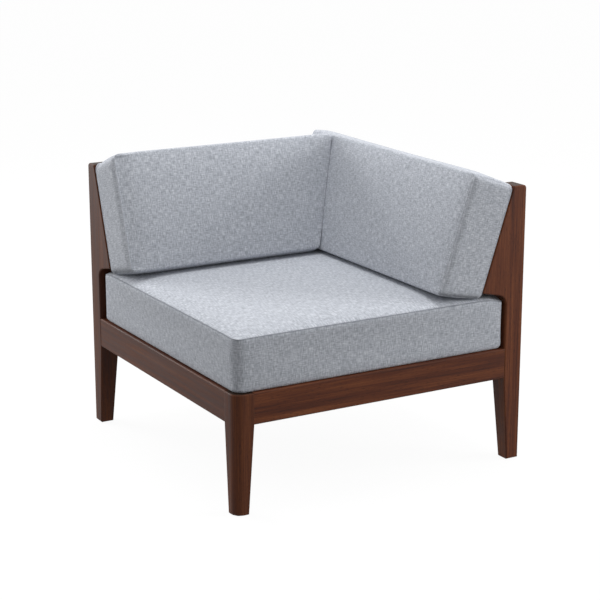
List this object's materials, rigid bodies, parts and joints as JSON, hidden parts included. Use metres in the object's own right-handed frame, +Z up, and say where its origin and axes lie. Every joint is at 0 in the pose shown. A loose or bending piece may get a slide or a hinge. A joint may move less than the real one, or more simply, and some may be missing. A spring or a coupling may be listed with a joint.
{
  "type": "outdoor corner chair",
  "caption": "Outdoor corner chair with a slatted hardwood frame, tapered legs, wedge-shaped back posts and loose boxed cushions on the seat and along adjoining backrests.",
  "frame": {"origin": "on the floor under the middle of the square plan", "axes": "+Z up, +X to the right of a person who faces the chair from its open front, +Y to the back"},
  "size_m": [0.74, 0.74, 0.6865],
  "materials": {
    "stained_hardwood": "dark red-brown stain, satin oil",
    "zinc_plated_steel": "zinc plated",
    "nylon_glide": "moulded nylon",
    "cushion_fabric": "woven blue-grey melange",
    "cushion_foam": "open-cell foam block"
  },
  "bodies": {
    "frame": {"front_leg": "stained_hardwood", "left_post": "stained_hardwood", "right_post": "stained_hardwood", "corner_post": "stained_hardwood", "back_stile": "stained_hardwood", "side_stile": "stained_hardwood", "front_rail": "stained_hardwood", "left_rail": "stained_hardwood", "back_rail": "stained_hardwood", "right_rail": "stained_hardwood", "back_top_rail": "stained_hardwood", "side_top_rail": "stained_hardwood", "front_ledger": "stained_hardwood", "back_ledger": "stained_hardwood", "seat_bearer": "stained_hardwood", "front_left_corner_block": "stained_hardwood", "front_right_corner_block": "stained_hardwood", "back_left_corner_block": "stained_hardwood", "back_right_corner_block": "stained_hardwood", "back_slat_1": "stained_hardwood", "back_slat_2": "stained_hardwood", "back_slat_3": "stained_hardwood", "back_slat_4": "stained_hardwood", "side_slat_1": "stained_hardwood", "side_slat_2": "stained_hardwood", "side_slat_3": "stained_hardwood", "side_slat_4": "stained_hardwood", "seat_slat_1": "stained_hardwood", "seat_slat_2": "stained_hardwood", "seat_slat_3": "stained_hardwood", "seat_slat_4": "stained_hardwood", "seat_slat_5": "stained_hardwood", "seat_slat_6": "stained_hardwood", "seat_slat_7": "stained_hardwood", "seat_slat_8": "stained_hardwood", "hanger_bolts": "zinc_plated_steel", "bolt_washers": "zinc_plated_steel", "bolt_nuts": "zinc_plated_steel", "frame_screws": "zinc_plated_steel", "slat_screws": "zinc_plated_steel", "foot_glides": "nylon_glide"},
    "seat_cushion": {"seat_cushion_cover": "cushion_fabric", "seat_cushion_core": "cushion_foam"},
    "back_cushion": {"back_cushion_cover": "cushion_fabric", "back_cushion_core": "cushion_foam"},
    "side_cushion": {"side_cushion_cover": "cushion_fabric", "side_cushion_core": "cushion_foam"}
  },
  "joints": [
    {"name": "seat_cushion_slide", "type": "slide", "parent": "frame", "child": "seat_cushion", "axis": [-0.7071, -0.7071, 0], "range_m": [0, 0.25]},
    {"name": "back_cushion_lift", "type": "slide", "parent": "frame", "child": "back_cushion", "axis": [0, 0.3126, 0.9499], "range_m": [0, 0.3]},
    {"name": "side_cushion_lift", "type": "slide", "parent": "frame", "child": "side_cushion", "axis": [0.3126, 0, 0.9499], "range_m": [0, 0.3]}
  ]
}
